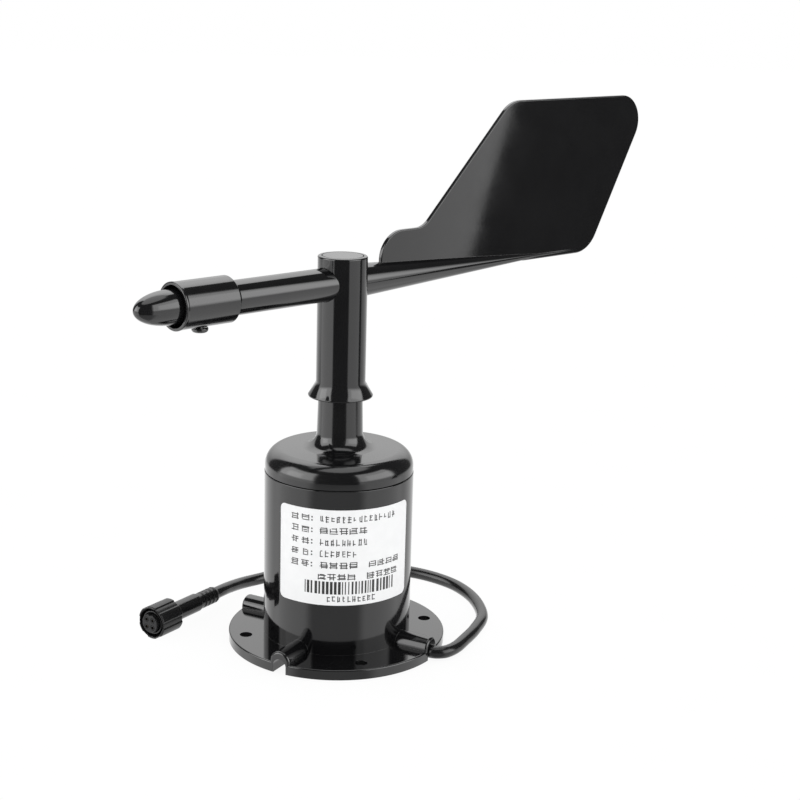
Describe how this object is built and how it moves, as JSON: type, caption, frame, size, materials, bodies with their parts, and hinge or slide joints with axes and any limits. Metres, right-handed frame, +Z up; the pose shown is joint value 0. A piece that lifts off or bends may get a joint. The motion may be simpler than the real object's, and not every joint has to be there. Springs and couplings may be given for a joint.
{
  "type": "wind direction sensor",
  "caption": "Wind vane sensor: tail fin and weighted nose turning on a mast above a round flanged housing, with a signal cable and a round screw plug.",
  "frame": {"origin": "vane's turning axis at the underside of the mounting flange, on the middle boss", "axes": "+Z up along the turning axis; at rest the weighted nose points to -X and the tail fin to +X"},
  "size_m": [0.2352, 0.0991, 0.185],
  "materials": {
    "black_plastic": "gloss",
    "dark_plastic": "satin",
    "black_pvc": "satin",
    "rubber": "matt",
    "steel": "satin",
    "black_metal": "gloss",
    "brass": "satin",
    "magnet_grey": "satin",
    "nylon": "satin",
    "board_green": "satin",
    "label_white": "satin",
    "core_brown": "satin",
    "core_black": "satin",
    "core_blue": "satin",
    "core_green": "satin"
  },
  "bodies": {
    "base": {"housing": "black_plastic", "top_cover": "black_plastic", "cover_seal": "rubber", "cover_screw_1": "steel", "cover_screw_2": "steel", "cover_screw_3": "steel", "upper_bearing_outer_ring": "steel", "lower_bearing_outer_ring": "steel", "lower_bearing_retainer": "dark_plastic", "shaft_seal": "rubber", "circuit_board": "board_green", "board_screw_1": "steel", "board_screw_2": "steel", "board_screw_3": "steel", "angle_sensor_chip": "dark_plastic", "microcontroller": "dark_plastic", "voltage_regulator": "dark_plastic", "capacitor": "steel", "wire_header": "nylon", "wire_brown": "core_brown", "wire_black": "core_black", "wire_blue": "core_blue", "wire_green": "core_green", "cable_grommet": "rubber", "cable_tie": "nylon", "cable": "black_pvc", "label": "label_white", "plug_body": "black_pvc", "plug_insert": "dark_plastic", "contact_1": "brass", "contact_2": "brass", "contact_3": "brass", "contact_4": "brass", "plug_seal": "rubber"},
    "rotor": {"hub": "black_plastic", "hub_cap": "black_plastic", "hub_insert": "brass", "hub_screw": "steel", "vane": "black_plastic", "nose_weight": "black_metal", "shaft": "steel", "shaft_clip": "steel", "upper_bearing_inner_ring": "steel", "lower_bearing_inner_ring": "steel", "magnet_holder": "dark_plastic", "magnet": "magnet_grey"},
    "sleeve": {"balance_sleeve": "black_plastic", "sleeve_screw": "black_metal"},
    "nut": {"coupling_nut": "dark_plastic"},
    "upper_balls": {"upper_ball_cage": "steel"},
    "lower_balls": {"lower_ball_cage": "steel"}
  },
  "joints": [
    {"name": "vane_yaw", "type": "hinge", "parent": "base", "child": "rotor", "pos_m": [0, 0, 0.1274], "axis": [0, 0, 1], "continuous": true},
    {"name": "upper_cage_roll", "type": "hinge", "parent": "base", "child": "upper_balls", "pos_m": [0, 0, 0.0875], "axis": [0, 0, 1], "continuous": true},
    {"name": "lower_cage_roll", "type": "hinge", "parent": "base", "child": "lower_balls", "pos_m": [0, 0, 0.0565], "axis": [0, 0, 1], "continuous": true},
    {"name": "balance_slide", "type": "slide", "parent": "rotor", "child": "sleeve", "axis": [1, 0, 0], "range_m": [-0.004, 0.03]},
    {"name": "nut_turn", "type": "hinge", "parent": "base", "child": "nut", "pos_m": [-0.0519, 0.0392, 0.006], "axis": [0.9736, 0.2284, 0], "continuous": true}
  ],
  "couplings": [
    {"joint": "upper_cage_roll", "follows": "vane_yaw", "ratio": 0.3867},
    {"joint": "lower_cage_roll", "follows": "vane_yaw", "ratio": 0.3867}
  ]
}
